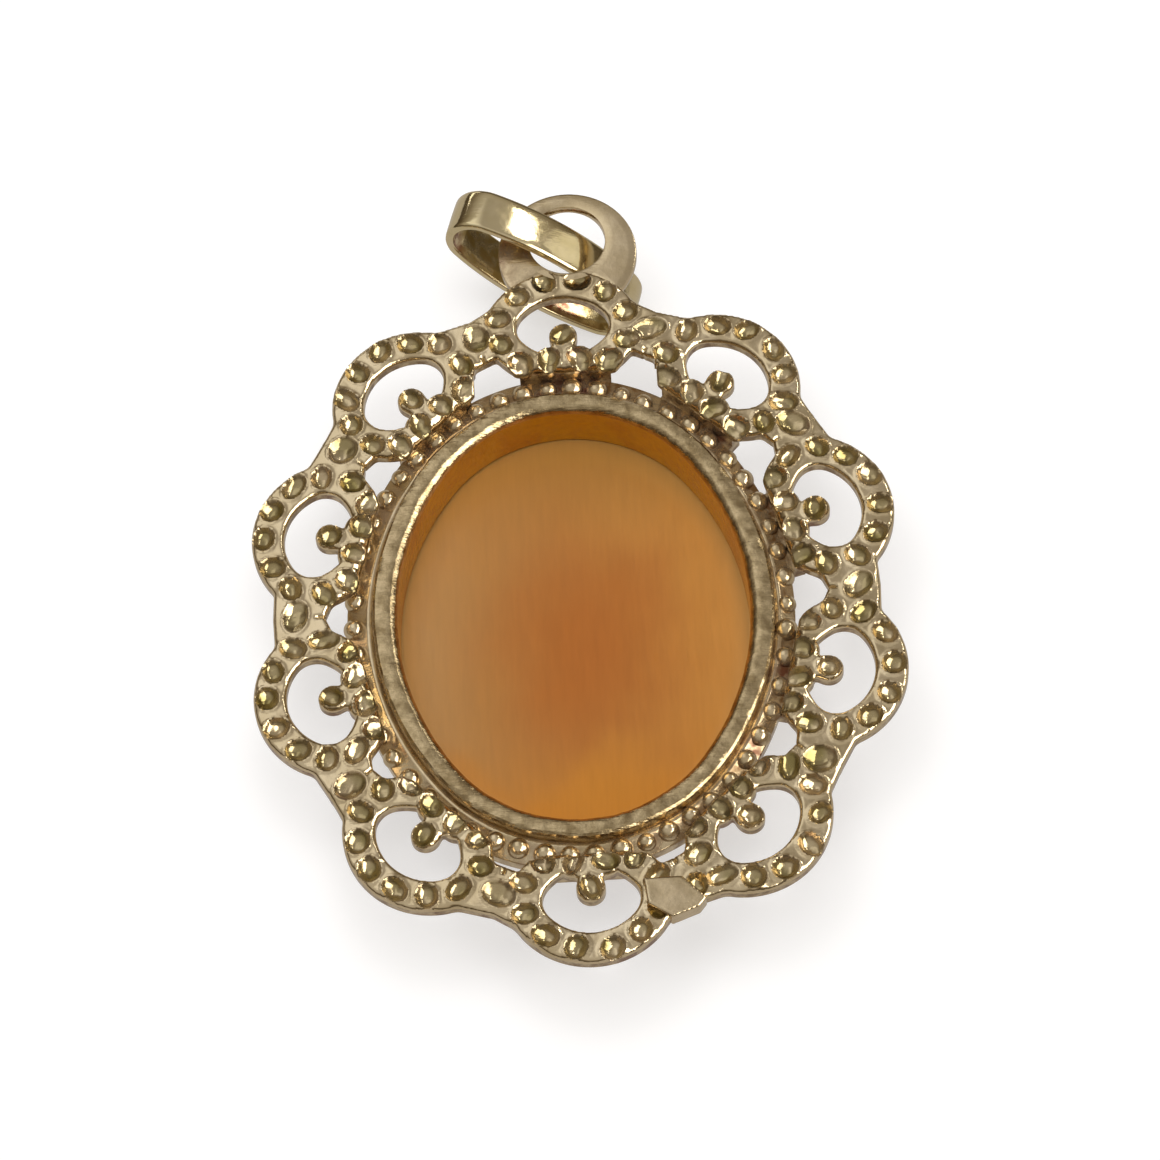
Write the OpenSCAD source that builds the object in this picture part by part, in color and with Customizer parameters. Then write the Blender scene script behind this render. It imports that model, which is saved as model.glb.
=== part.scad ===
/* [Openwork frame] */
// Half width of the oval that the lobe centres lie on
lobe_path_a = 8.58; // [8.3:0.02:9]
// Half height of that oval
lobe_path_b = 10.27; // [10:0.01:10.8]
// Half width of a lobe's opening, along the frame
opening_a = 1.52; // [1.4:0.01:1.6]
// Half height of a lobe's opening, away from the centre
opening_b = 1.1; // [1:0.01:1.2]
// Width of the metal strip that forms a lobe
strip_w = 1.05; // [0.95:0.01:1.15]
// Thickness of the struck sheet
sheet_t = 0.5; // [0.4:0.01:0.6]
// Height of the frame's back above the surface that the pendant lies on
back_z = 3.87; // [3.8:0.01:4]

/* [Struck dots] */
// Diameter of a dimple on the back
dimple_d = 0.72; // [0.5:0.01:0.78]
// Depth of a dimple
dimple_depth = 0.28; // [0.1:0.01:0.3]
// Height that a dot stands out of the front
bead_h = 0.24; // [0.1:0.01:0.3]
// Diameter of the larger dimple where two lobes meet
joint_dimple_d = 0.94; // [0.7:0.01:1]
// How far outward of the midpoint between two lobes that dimple sits
joint_out = 0.78; // [0.7:0.01:0.9]
// Radius of the disc where two lobes meet
joint_r = 0.72; // [0.65:0.01:0.8]

/* [Bezel] */
// Half width of the bezel's outside
bezel_a = 6.45; // [6.3:0.01:6.6]
// Half height of the bezel's outside
bezel_b = 7.97; // [7.8:0.01:8.1]
// Half width of the opening in the back
window_a = 5.66; // [5.4:0.01:5.8]
// Half height of the opening in the back
window_b = 7.31; // [7.1:0.01:7.4]
// Height of the bezel's back rim
rim_z = 3.47; // [3.3:0.01:3.6]
// Depth of the recess from the rim to the shell
recess = 2.08; // [1.8:0.01:2.2]
// Height of the bezel's front lip
lip_z = 0.42; // [0.3:0.01:0.5]

/* [Beaded gallery] */
// Diameter of a gallery bead
gallery_bead_d = 0.7; // [0.6:0.01:0.8]
// Number of gallery beads
gallery_beads = 54; // [40:2:56]

/* [Fixed ring] */
// Outer radius of the ring
ring_r = 2.3; // [2.1:0.01:2.4]
// Radius of its hole
ring_hole_r = 1.27; // [1.2:0.01:1.3]
// Thickness of the ring's flat wire
ring_t = 0.4; // [0.3:0.01:0.45]

/* [Bail] */
// Length of the bail
bail_l = 7.17; // [6.8:0.01:7.4]
// Height of the bail's loop
bail_h = 2.96; // [2.8:0.01:3.1]
// Width of its band
bail_w = 1.54; // [1.2:0.01:1.6]
// Thickness of its band
bail_t = 0.3; // [0.25:0.01:0.35]

/* [Hidden] */
$fn = 48;
// Moves the whole pendant so that its box is centred on the origin
shift = [-0.13, -1.47, 0];
eps = 0.05;

// Struck sheet: lobes at these angles, clockwise from the top, with dots at these places in each lobe,
// given as distances sideways from the lobe's centre line and outward from its centre
lobe_angles = [0, 33.3, 69.7, 109.3, 146.5, 180, 213.5, 250.3, 290.3, 326.7];
lobe_n = len(lobe_angles);
// The frame sits slightly off the bezel's centre
frame_shift = [0.12, 0];
plain_joint = 4;
front_z = back_z - sheet_t;
opening_end_r = 0.75;
// Each lobe ends in a straight cut on the bezel's side, and a tongue with a dot reaches into its opening
base_cut = 1.62;
base_cut_box = [6, 1];
tongue_tip_r = 0.46;
tongue_w = 0.8;
tongue_h = 1.5;
tongue_r0 = -1.2;
tongue_root_r = 0.5;
tongue_root_r0 = -1.25;
// Neighbouring lobes meet in a disc and a web, which leave a small three-sided hole next to the bezel
disc_out = 0.8;
web_t = 2.1;
web_out = 0.98;
web_in = -1;
web_middle = -0.15;
dots = [[0.55, 1.65], [1.47, 1.17], [2.07, 0.38], [2.06, -0.64], [1.45, -1.31], [0.49, -1.25]];
tip_dot = [0, -0.36];
bead_d = dimple_d + 0.02;
joint_bead_d = joint_dimple_d;
joint_bead_h = 0.3;
joint_dimple_depth = 0.3;
// Plain plate over one joint, and the dimple left showing beside it
plate_points = [[1.75, -9.75], [2.95, -9.75], [3.7, -10.5], [3.46, -10.8], [2.6, -11.12], [1.85, -10.6]];
plate_proud = 0.13;
plate_dimple = [3.4, -10.02];
plate_dimple_d = 0.7;

// Bezel: the recess holds the shell between a ledge under the rim and the front lip
bezel_end_r = 5.6;
ledge_z = rim_z - recess + eps;
lip_t = 0.28;
seat_gap = 0.05;
seat_a = 6.05;
seat_b = 7.7;
lip_a = 5.75;
lip_b = 7.4;

// Beaded gallery: a band round the bezel with the beads on it, and a post up to each lobe. It sits slightly to
// the left of the bezel's centre.
gallery_shift = [-0.1, 0];
gallery_a = 6.95;
gallery_b = 8.4;
gallery_z = 2.8;
band_z = 2.4;
band_t = 0.42;
band_out = 0.25;
band_out_end = 0.45;
post_w = 3;
post_in = -2.1;
post_out = -1.2;

// Fixed ring, with its hole nearer the top than its centre
ring_p = [0.4, 13.07];
hole_p = [0.4, 13.56];
ring_low = 0.04;
ring_z = back_z - ring_t - ring_low;
trim_r = ring_hole_r + 0.1;
ring_stop = 0.95;

// Bail: its loop is long along X, wound about Z, then turned to where it lies
bail_end_r = 1.12;
bail_p = [-0.402, 13.476, 2.5];
bail_turn = [82.1, 31.8, -20.1];

// Cameo: an oval plate, slightly hollow at the back, with a low dome, a rose and leaves on the side that
// faces down
cameo_a = 6;
cameo_b = 7.65;
cameo_end_r = 5.25;
cameo_back = ledge_z - seat_gap;
cameo_front = lip_z + lip_t + seat_gap;
hollow_r = 150;
hollow = 0.2;
carve_a = 5.5;
carve_b = 7.15;
carve_root = 0.2;
edge_h = 0.14;
dome_h = 0.2;
spokes = 72;
rings = 24;
// Rose: each ring of petals has a radius, a number of petals and a turn
rose_p = [0.1, 0.7];
petal_rings = [[0.5, 2, 10], [1.1, 3, 40], [1.75, 4, 15], [2.5, 5, 50], [3.35, 6, 20]];
petal_scallop = 0.14;
petal_low = 0.45;
petal_curl = 0.86;
petal_crease = 0.3;
// Leaves: each has its foot, its direction clockwise from the top, its length and its half width
leaves = [[1.7, 2.9, 38, 3.6, 1.15], [-1.6, 3, -40, 3.5, 1.15], [2.6, -0.4, 112, 2.7, 1.1],
    [-2.5, -0.3, -108, 2.7, 1.1], [1, -1.9, 158, 4, 1.2], [-0.8, -1.9, -160, 4, 1.2]];
leaf_h = 0.28;
leaf_vein = 0.3;

function path_r(ang) = 1 / sqrt(pow(sin(ang) / lobe_path_a, 2) + pow(cos(ang) / lobe_path_b, 2));
function path_p(ang) = frame_shift + [path_r(ang) * sin(ang), path_r(ang) * cos(ang)];
function out_dir(ang) =
    let(p = path_p(ang) - frame_shift, n = [p[0] / pow(lobe_path_a, 2), p[1] / pow(lobe_path_b, 2)])
    n / norm(n);
function turn(ang) = let(n = out_dir(ang)) -atan2(n[0], n[1]);
function joint_p(i, out = joint_out) =
    let(a = path_p(lobe_angles[i]), b = path_p(lobe_angles[(i + 1) % lobe_n]), m = (a + b) / 2)
    m + out * m / norm(m);
function from_lobe(ang, t, r) =
    let(n = out_dir(ang)) path_p(ang) + t * [n[1], -n[0]] + r * n;
function web_points(i) =
    let(ang = lobe_angles[i], next = lobe_angles[(i + 1) % lobe_n]) [
        from_lobe(ang, web_t, web_out), from_lobe(next, -web_t, web_out),
        from_lobe(next, -web_t, web_in), joint_p(i, web_middle), from_lobe(ang, web_t, web_in)
    ];
function cap_r(d, h) = (d * d / 4 + h * h) / (2 * h);

// An oval of four tangent arcs, longer along X; end_r is the radius of its two ends
module long_oval(a, b, end_r) {
    side_r = (pow(a - end_r, 2) + b * b - end_r * end_r) / (2 * (b - end_r));
    along = end_r * (a - end_r) / (side_r - end_r);
    intersection() {
        translate([0, b - side_r]) circle(side_r, $fn = 200);
        translate([0, side_r - b]) circle(side_r, $fn = 200);
        square([2 * (a - end_r + along), 3 * b], center = true);
    }
    for (side = [-1, 1]) translate([side * (a - end_r), 0]) circle(end_r, $fn = 96);
}

module tall_oval(a, b, end_r) {
    rotate(90) long_oval(b, a, end_r);
}

module at_lobe(ang) {
    translate(path_p(ang)) rotate(turn(ang)) children();
}

module at_dots() {
    for (ang = lobe_angles) at_lobe(ang) {
        for (p = dots, side = [-1, 1]) translate([side * p[0], p[1]]) children();
        translate(tip_dot) children();
    }
}

module at_joints() {
    for (i = [0 : lobe_n - 1]) if (i != plain_joint) translate(joint_p(i)) children();
}

module lobe_outline() {
    long_oval(opening_a + strip_w, opening_b + strip_w, opening_end_r + strip_w);
}

module lobe_opening() {
    difference() {
        long_oval(opening_a, opening_b, opening_end_r);
        translate(tip_dot) circle(tongue_tip_r);
        translate([0, tongue_r0]) square([tongue_w, tongue_h], center = true);
        for (side = [-1, 1]) translate([side * tongue_root_r, tongue_root_r0]) circle(tongue_root_r);
    }
}

module sheet_outline() {
    difference() {
        union() {
            for (ang = lobe_angles) at_lobe(ang) lobe_outline();
            for (i = [0 : lobe_n - 1]) {
                translate(joint_p(i, disc_out)) circle(joint_r);
                polygon(web_points(i));
            }
        }
        for (ang = lobe_angles) at_lobe(ang) translate([-base_cut_box[0] / 2, -base_cut - base_cut_box[1]])
            square(base_cut_box);
        for (ang = lobe_angles) at_lobe(ang) lobe_opening();
        translate(hole_p) circle(trim_r);
    }
}

// A dot on the front: the part of a ball that stands out, with a short root inside the sheet
module bead(d, h) {
    r = cap_r(d, h);
    translate([0, 0, front_z]) rotate_extrude() intersection() {
        translate([0, r - h]) circle(r);
        translate([0, -h - eps]) square([r, h + 2 * eps]);
    }
}

module dimple(d, h) {
    r = cap_r(d, h);
    translate([0, 0, back_z + r - h]) sphere(r);
}

module sheet() {
    difference() {
        union() {
            translate([0, 0, front_z]) linear_extrude(sheet_t) sheet_outline();
            at_dots() bead(bead_d, bead_h);
            at_joints() bead(joint_bead_d, joint_bead_h);
        }
        at_dots() dimple(dimple_d, dimple_depth);
        at_joints() dimple(joint_dimple_d, joint_dimple_depth);
        translate(plate_dimple) dimple(plate_dimple_d, dimple_depth);
    }
    translate([0, 0, front_z]) linear_extrude(sheet_t + plate_proud) polygon(plate_points);
}

module bezel() {
    translate([0, 0, lip_z]) difference() {
        linear_extrude(rim_z - lip_z) tall_oval(bezel_a, bezel_b, bezel_end_r);
        translate([0, 0, ledge_z - lip_z]) linear_extrude(rim_z)
            tall_oval(window_a, window_b, bezel_end_r - bezel_a + window_a);
        translate([0, 0, lip_t]) linear_extrude(ledge_z - lip_z - lip_t)
            tall_oval(seat_a, seat_b, bezel_end_r - bezel_a + seat_a);
        translate([0, 0, -eps]) linear_extrude(lip_t + 2 * eps)
            tall_oval(lip_a, lip_b, bezel_end_r - bezel_a + lip_a);
    }
}

module gallery() {
    translate([0, 0, band_z]) linear_extrude(band_t) difference() {
        translate(gallery_shift)
            tall_oval(gallery_a + band_out, gallery_b + band_out_end, bezel_end_r + gallery_a - bezel_a + band_out);
        tall_oval(seat_a + eps, seat_b + eps, bezel_end_r - bezel_a + seat_a + eps);
    }
    for (i = [0 : gallery_beads - 1]) {
        a = 360 * (i + 0.5) / gallery_beads;
        translate([gallery_shift[0] + gallery_a * sin(a), gallery_b * cos(a), gallery_z])
            sphere(gallery_bead_d / 2, $fn = 24);
    }
    for (ang = lobe_angles) at_lobe(ang) {
        translate([-post_w / 2, post_in, band_z]) cube([post_w, post_out - post_in, band_t]);
        translate([-post_w / 2, -base_cut + eps, band_z])
            cube([post_w, base_cut + post_out - eps, front_z - band_z + eps]);
    }
}

module fixed_ring() {
    translate([0, 0, ring_z]) linear_extrude(ring_t) difference() {
        translate(ring_p) circle(ring_r, $fn = 96);
        translate(hole_p) circle(ring_hole_r, $fn = 96);
        at_lobe(0) long_oval(opening_a + ring_stop, opening_b + ring_stop, opening_end_r + ring_stop);
    }
}

module mounting() {
    color("darkkhaki") translate(shift) {
        sheet();
        bezel();
        gallery();
        fixed_ring();
    }
}

function petal_wave(k, ang) = abs(cos(petal_rings[k][1] * (ang - petal_rings[k][2]) / 2));
function petal_edge(k, ang) = petal_rings[k][0] * (1 - petal_scallop * (1 - petal_wave(k, ang)));
function petal_ring(r, ang, k = 0) =
    k == len(petal_rings) ? -1 : r < petal_edge(k, ang) ? k : petal_ring(r, ang, k + 1);
function rose_h(r, ang) =
    let(k = petal_ring(r, ang))
    k < 0 ? 0 :
    let(inner = k == 0 ? 0 : petal_edge(k - 1, ang), u = (r - inner) / (petal_edge(k, ang) - inner))
    cameo_front * (petal_low + (1 - petal_low) * pow(min(1, u / petal_curl), 1.5))
        * (1 - petal_crease * pow(1 - petal_wave(k, ang), 2));
function leaf_at(x, y, leaf) =
    let(dx = x - leaf[0], dy = y - leaf[1], u = (dx * sin(leaf[2]) + dy * cos(leaf[2])) / leaf[3])
    u <= 0 || u >= 1 ? 0 :
    let(q = abs(dx * cos(leaf[2]) - dy * sin(leaf[2])) / (leaf[4] * sin(180 * pow(u, 0.8))))
    q >= 1 ? 0 : leaf_h * (1 - 0.6 * q * q) * (1 - leaf_vein * exp(-pow(q / 0.25, 2)));
function carve_h(x, y) =
    let(dx = x - rose_p[0], dy = y - rose_p[1])
    max(edge_h + dome_h * (1 - pow(x / carve_a, 2) - pow(y / carve_b, 2))
        + max([for (leaf = leaves) leaf_at(x, y, leaf)]), rose_h(norm([dx, dy]), atan2(dx, dy)));
function carve_p(i, j) =
    let(f = j / rings, x = carve_a * f * sin(360 * i / spokes), y = carve_b * f * cos(360 * i / spokes))
    [x, y, cameo_front - carve_h(x, y)];

// The carved side: a middle point, then rings of points out to the edge, then a ring inside the plate
module carving() {
    last = 1 + (rings - 1) * spokes;
    points = [
        carve_p(0, 0),
        for (j = [1 : rings], i = [0 : spokes - 1]) carve_p(i, j),
        for (i = [0 : spokes - 1]) let(p = carve_p(i, rings)) [p[0], p[1], cameo_front + carve_root]
    ];
    faces = [
        for (i = [0 : spokes - 1]) [0, 1 + (i + 1) % spokes, 1 + i],
        for (j = [0 : rings - 2], i = [0 : spokes - 1])
            let(a = 1 + j * spokes + i, b = 1 + j * spokes + (i + 1) % spokes)
            each [[a, b, a + spokes], [b, b + spokes, a + spokes]],
        for (i = [0 : spokes - 1]) let(a = last + i, b = last + (i + 1) % spokes)
            [a, b, b + spokes, a + spokes],
        [for (i = [0 : spokes - 1]) last + spokes + i]
    ];
    polyhedron(points, faces, convexity = 10);
}

module cameo() {
    color("sandybrown") translate(shift) {
        difference() {
            translate([0, 0, cameo_front]) linear_extrude(cameo_back - cameo_front)
                tall_oval(cameo_a, cameo_b, cameo_end_r);
            translate([0, 0, cameo_back]) rotate_extrude($fn = 96) intersection() {
                translate([0, hollow_r - hollow]) circle(hollow_r, $fn = 3000);
                translate([0, -1]) square([cameo_b + 1, 2]);
            }
        }
        carving();
    }
}

module bail() {
    color("khaki") translate(shift) translate(bail_p) rotate(bail_turn)
        linear_extrude(bail_w, center = true) difference() {
            long_oval(bail_l / 2, bail_h / 2, bail_end_r);
            long_oval(bail_l / 2 - bail_t, bail_h / 2 - bail_t, bail_end_r - bail_t);
        }
}

mounting();
cameo();
bail();
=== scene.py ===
"""Cameo pendant, lying face down on a white surface and seen from its back.

Lengths are millimetres in the pendant's own frame: the bezel's middle is the origin, +Y runs to the fixed
ring and +Z comes out of the back. put() moves them by SX and SY and turns them into the model's metres.
Directions in the sheet's plane are clockwise from +Y, seen from the back. An oval has four tangent arcs, and
is given as half width, half height and end radius.
"""
import math
from collections import namedtuple

import bpy
import numpy as np
from mathutils import Matrix, Vector


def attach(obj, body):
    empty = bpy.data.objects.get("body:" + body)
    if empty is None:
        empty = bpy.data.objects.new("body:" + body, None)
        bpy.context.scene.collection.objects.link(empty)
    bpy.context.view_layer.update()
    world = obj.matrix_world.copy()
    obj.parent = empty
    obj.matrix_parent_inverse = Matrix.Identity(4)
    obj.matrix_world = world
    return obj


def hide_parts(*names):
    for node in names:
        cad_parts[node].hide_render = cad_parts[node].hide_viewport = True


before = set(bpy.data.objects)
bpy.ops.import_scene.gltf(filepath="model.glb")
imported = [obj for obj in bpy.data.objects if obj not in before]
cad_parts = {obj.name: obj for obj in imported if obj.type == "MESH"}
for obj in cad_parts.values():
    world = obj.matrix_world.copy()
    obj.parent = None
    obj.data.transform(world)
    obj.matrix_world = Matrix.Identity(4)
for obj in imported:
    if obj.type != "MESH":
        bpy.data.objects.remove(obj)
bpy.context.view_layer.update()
SX, SY = -0.13, -1.47
MM = 0.001
rng = np.random.default_rng(11)

# Openwork sheet: its back face, its gauge and its front face
BACK, SHEET = 3.87, 0.5
FRONT = BACK - SHEET
# Half axes and middle of the oval that the lobes' middles lie on, and the direction of each lobe
PATH_A, PATH_B = 8.58, 10.27
SHIFT = np.array([0.12, 0])
LOBES = (0, 33.3, 69.7, 109.3, 146.5, 180, 213.5, 250.3, 290.3, 326.7)
# Opening of a lobe, as an oval longer along the sheet's edge, and the width of the strip round it
OPEN = (1.52, 1.1, 0.75)
STRIP = 1.05
# Straight cut at a lobe's inner side: how far inward it lies, its half width and depth, and its bevel
BASE_CUT, CUT_BEVEL = 1.62, 0.24
CUT_HALF, CUT_DEPTH = 3, 1
BEVEL_HALF, BEVEL_SLOPE = 2.2, 0.7
# Tongue in an opening: places are along the edge and outward from the lobe's middle
TIP_DOT, TIP_R = (0, -0.36), 0.46
STEM_HALF, STEM_MIDDLE, STEM_LENGTH = 0.4, -1.2, 1.5
FOOT, FOOT_R = (0.5, -1.25), 0.5
# Where lobes meet: a disc, and a web as its place along each lobe, outer edge, inner edge and inner middle
DISC_OUT, DISC_R = 0.8, 0.72
WEB = (2.1, 0.98, -1.0, -0.15)
# Places of a lobe's dots on one side, how far out the dot between lobes lies, and the joint that has none
DOTS = ((0.55, 1.65), (1.47, 1.17), (2.07, 0.38), (2.06, -0.64), (1.45, -1.31), (0.49, -1.25))
JOINT_OUT, PLAIN_JOINT = 0.78, 4
# Each kind of dot: radius and depth of the hollow at the back, radius and height of the dome at the front
LOBE_SIZE = (0.385, 0.27, 0.37, 0.24)
TIP_SIZE = (0.37, 0.27, 0.37, 0.24)
JOINT_SIZE = (0.47, 0.2, 0.47, 0.3)
PLATE_DOT_SIZE = (0.35, 0.28, 0, 0)
# How much the dots differ in place, radius, depth and lean, and how much a leaning dot is drawn out
PLACE_SPREAD, RADIUS_SPREAD, DEPTH_SPREAD, LEAN_SPREAD = 0.025, 0.012, 0.015, 0.12
DRAWN_OUT, DOT_REACH = 0.7, 0.7
# Raised rim round a hollow: its height, width and distance from the hollow's edge
DOT_RIM_H, DOT_RIM_W, DOT_RIM_OUT = 0.035, 0.05, 0.04
# Height, seed and scale of the waves of the sheet's back, and of the waves in the hollows
SHEET_WAVES, HOLLOW_WAVE = ((0.018, 3, 3.0), (0.008, 4, 0.9)), (0.013, 5, 0.36)
# Radius of the rounding along the sheet's back edge and front edge, and of the blends in its outline
BACK_EDGE, FRONT_EDGE, OUTLINE_BLEND, TONGUE_BLEND = 0.14, 0.07, 0.12, 0.1
# Fixed ring: middle and radius of its hole and of its outside
HOLE, HOLE_R, RING, RING_R = (0.4, 13.56), 1.27, (0.4, 13.07), 2.3
# Plain plate over a joint, and the dot beside it
PLATE = ((1.75, -9.75), (2.95, -9.75), (3.7, -10.5), (3.46, -10.8), (2.6, -11.12), (1.85, -10.6))
PLATE_DOT = (3.4, -10.02)
# A distance that is outside every piece
FAR_OFF = 9.0


# Helpers for shapes
def put(points):
    """Pendant millimetres to the model's metres."""
    p = np.array(points, float).reshape(-1, 3).copy()
    p[:, 0] += SX
    p[:, 1] += SY
    return p * MM


def mesh(name, points, faces, material, angle, body="pendant"):
    """A mesh object from points in pendant millimetres, smooth, with edges over angle degrees kept sharp."""
    me = bpy.data.meshes.new(name)
    me.from_pydata(put(points).tolist(), [], [list(map(int, f)) for f in faces])
    me.validate()
    me.update()
    ob = bpy.data.objects.new(name, me)
    bpy.context.scene.collection.objects.link(ob)
    me.materials.append(material)
    me.polygons.foreach_set("use_smooth", np.ones(len(me.polygons), bool))
    chosen = {"object": ob, "active_object": ob, "selected_objects": [ob], "selected_editable_objects": [ob]}
    with bpy.context.temp_override(**chosen):
        bpy.ops.object.shade_smooth_by_angle(angle=math.radians(angle))
    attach(ob, body)
    return ob


def attribute(ob, name, values):
    a = ob.data.attributes.new(name, "FLOAT", "POINT")
    a.data.foreach_set("value", np.asarray(values, np.float32))


def wave(x, y, seed, scale, octaves=3):
    """Smooth noise from a few plane waves, about -1 to 1, with features about scale millimetres across."""
    waves, finer, mean = 5, 1.8, 2.2
    g = np.random.default_rng(seed)
    out = np.zeros_like(x, float)
    total = 0
    for o in range(octaves):
        for _ in range(waves):
            a, ph = g.uniform(0, 2 * np.pi, 2)
            f = 2 * np.pi / scale * finer ** o * g.uniform(0.7, 1.3)
            out += np.sin(f * (np.cos(a) * x + np.sin(a) * y) + ph) / finer ** o
        total += mean / finer ** o
    return out / total


def oval(x, y, a, b, e):
    """Distance to an oval that is longer along x, below 0 inside."""
    x, y = np.abs(x), np.abs(y)
    r = ((a - e) ** 2 + b * b - e * e) / (2 * (b - e))
    cy = b - r
    end = -x * cy - (y - cy) * (a - e) > 0
    return np.where(end, np.hypot(x - (a - e), y) - e, np.hypot(x, y - cy) - r)


def oval_at(ang, a, b, e):
    """The point of an oval that is longer along y whose outward normal has the direction ang, in radians."""
    r = ((b - e) ** 2 + a * a - e * e) / (2 * (a - e))
    cx = a - r
    s, c = np.abs(np.sin(ang)), np.abs(np.cos(ang))
    join = np.arctan2(-cx, b - e)
    end = np.arctan2(s, c) < join
    px = np.where(end, e * s, cx + r * s)
    py = np.where(end, b - e + e * c, r * c)
    return px * np.sign(np.sin(ang)), py * np.sign(np.cos(ang))


def smin(a, b, k):
    """The lesser of two distances, with the corner between them rounded over k."""
    h = np.clip(0.5 + 0.5 * (b - a) / k, 0, 1)
    return b + (a - b) * h - k * h * (1 - h)


def path_p(ang):
    """The middle of the lobe in the direction ang."""
    s, c = math.sin(math.radians(ang)), math.cos(math.radians(ang))
    r = 1 / math.hypot(s / PATH_A, c / PATH_B)
    return SHIFT + np.array([r * s, r * c])


def out_dir(ang):
    """The way out of the pendant at that lobe."""
    p = (path_p(ang) - SHIFT) / np.array([PATH_A ** 2, PATH_B ** 2])
    return p / np.linalg.norm(p)


def in_lobe(ang, x, y):
    """A point's place in a lobe: along the edge and outward from the lobe's middle."""
    c, n = path_p(ang), out_dir(ang)
    dx, dy = x - c[0], y - c[1]
    return dx * n[1] - dy * n[0], dx * n[0] + dy * n[1]


def from_lobe(ang, t, r):
    """The point at such a place in a lobe."""
    c, n = path_p(ang), out_dir(ang)
    return c + t * np.array([n[1], -n[0]]) + r * n


def joint_p(i, out=JOINT_OUT):
    """A point between lobe i and the next one, out from the midpoint of their middles."""
    m = (path_p(LOBES[i]) + path_p(LOBES[(i + 1) % len(LOBES)])) / 2
    return m + out * m / np.linalg.norm(m)


def polygon_f(x, y, corners):
    """How far (x, y) lies outside a convex polygon whose corners run clockwise."""
    f = np.full_like(x, -FAR_OFF)
    for (ax, ay), (bx, by) in zip(corners, corners[1:] + corners[:1]):
        f = np.maximum(f, -((x - ax) * (by - ay) - (y - ay) * (bx - ax)) / math.hypot(bx - ax, by - ay))
    return f


def row_at(px, py, z):
    """Points with one height or with a height each."""
    return np.stack([px, py, np.full_like(px, z)], 1)


def loft(rows, closed_profile=True, flip=False):
    """Quads over rows of points, each row a closed ring of the same length; the rows close on each other too.
    They face outward where the rows run up on the ring's inner side, or with flip on its outer side."""
    n, m = len(rows[0]), len(rows)
    faces = []
    for j in range(m if closed_profile else m - 1):
        a, b = j * n, (j + 1) % m * n
        for i in range(n):
            k = (i + 1) % n
            quad = (a + i, a + k, b + k, b + i)
            faces.append(quad[::-1] if flip else quad)
    return np.concatenate(rows), faces


# Step that a slope is measured over, and in grid steps, how near an edge slopes matter and points are moved
SLOPE_STEP, NEAR_EDGE, SNAP = 1e-3, 1.5, 0.3


def cut_grid(f, x0, y0, x1, y1, h):
    """Triangles over the part of a grid where f(x, y) < 0, with their points drawn onto its edge."""
    nx, ny = int((x1 - x0) / h) + 1, int((y1 - y0) / h) + 1
    gx, gy = np.meshgrid(x0 + np.arange(nx) * h, y0 + np.arange(ny) * h)
    gx[1::2] += h / 2
    x, y = gx.ravel(), gy.ravel()
    v = f(x, y)
    d = SLOPE_STEP
    near = np.abs(v) < NEAR_EDGE * h
    slope_x, slope_y = np.zeros_like(v), np.zeros_like(v)
    slope_x[near] = (f(x[near] + d, y[near]) - f(x[near] - d, y[near])) / (2 * d)
    slope_y[near] = (f(x[near], y[near] + d) - f(x[near], y[near] - d)) / (2 * d)
    snap = np.abs(v) < SNAP * h
    steep = np.maximum(slope_x ** 2 + slope_y ** 2, 0.2)
    x[snap] -= v[snap] * slope_x[snap] / steep[snap]
    y[snap] -= v[snap] * slope_y[snap] / steep[snap]
    v[snap] = 0
    i, j = np.meshgrid(np.arange(nx - 1), np.arange(ny - 1))
    a = (j * nx + i).ravel()
    odd = (j.ravel() % 2) == 1
    b, c, e = a + 1, a + nx, a + nx + 1
    first = np.where(odd[:, None], np.stack([a, b, e], 1), np.stack([a, b, c], 1))
    second = np.where(odd[:, None], np.stack([a, e, c], 1), np.stack([b, e, c], 1))
    tri = np.concatenate([first, second])
    inside = v[tri] <= 0
    count = inside.sum(1)
    whole = tri[(count == 3) & (v[tri] < 0).any(1)]
    partly = (count == 1) | (count == 2)
    made, key, extra = [], {}, []

    def crossing(p, q):
        """The new point where the edge from p to q leaves the outline."""
        p, q = min(p, q), max(p, q)
        if (p, q) not in key:
            w = v[p] / (v[p] - v[q])
            key[p, q] = len(x) + len(extra)
            extra.append((x[p] + (x[q] - x[p]) * w, y[p] + (y[q] - y[p]) * w))
        return key[p, q]

    for t, s in zip(tri[partly], inside[partly]):
        alone = s.sum() == 1
        k = int(np.argmax(s) if alone else np.argmin(s))
        p, q, r = (int(t[(k + step) % 3]) for step in range(3))
        if alone:
            if v[p] < 0:
                made.append((p, crossing(p, q), crossing(p, r)))
        elif v[q] == 0 and v[r] == 0:
            continue
        elif v[q] == 0:
            made.append((q, r, crossing(p, r)))
        elif v[r] == 0:
            made.append((q, r, crossing(p, q)))
        else:
            u, w = crossing(p, q), crossing(p, r)
            made += [(q, r, w), (q, w, u)]
    tri = np.concatenate([whole, np.array(made, int).reshape(-1, 3)])
    if extra:
        ex = np.array(extra)
        x, y = np.concatenate([x, ex[:, 0]]), np.concatenate([y, ex[:, 1]])
    used, inv = np.unique(tri, return_inverse=True)
    return x[used], y[used], inv.reshape(-1, 3)


def edge_loop(tri):
    """The directed edges that only one triangle uses."""
    e = np.concatenate([tri[:, [0, 1]], tri[:, [1, 2]], tri[:, [2, 0]]])
    s = np.sort(e, 1)
    _, first, n = np.unique(s[:, 0] * (s.max() + 1) + s[:, 1], return_index=True, return_counts=True)
    return e[first[n == 1]]


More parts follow.
